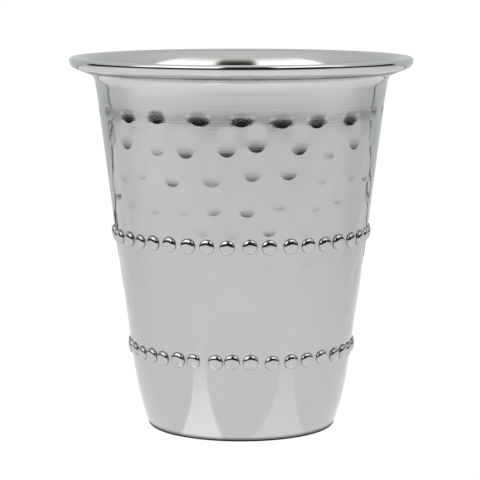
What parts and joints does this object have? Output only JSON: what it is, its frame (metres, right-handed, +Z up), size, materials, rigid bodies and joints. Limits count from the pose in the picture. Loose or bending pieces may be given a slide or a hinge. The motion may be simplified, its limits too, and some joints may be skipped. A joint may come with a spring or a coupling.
{
  "type": "kiddush cup",
  "caption": "Footless flared beaker for the blessing over wine: hammered steel wall, rolled lip and two rows of raised beads.",
  "frame": {"origin": "centre of the resting ring under the foot, at the bottom centre of the bounding box", "axes": "+Z up the cup's axis, -Y towards the front view"},
  "size_m": [0.079, 0.079, 0.0857],
  "materials": {
    "steel": "satin-brushed stainless steel, hammered, with polished lip and beads"
  },
  "bodies": {
    "root": {"cup": "steel"}
  },
  "joints": []
}
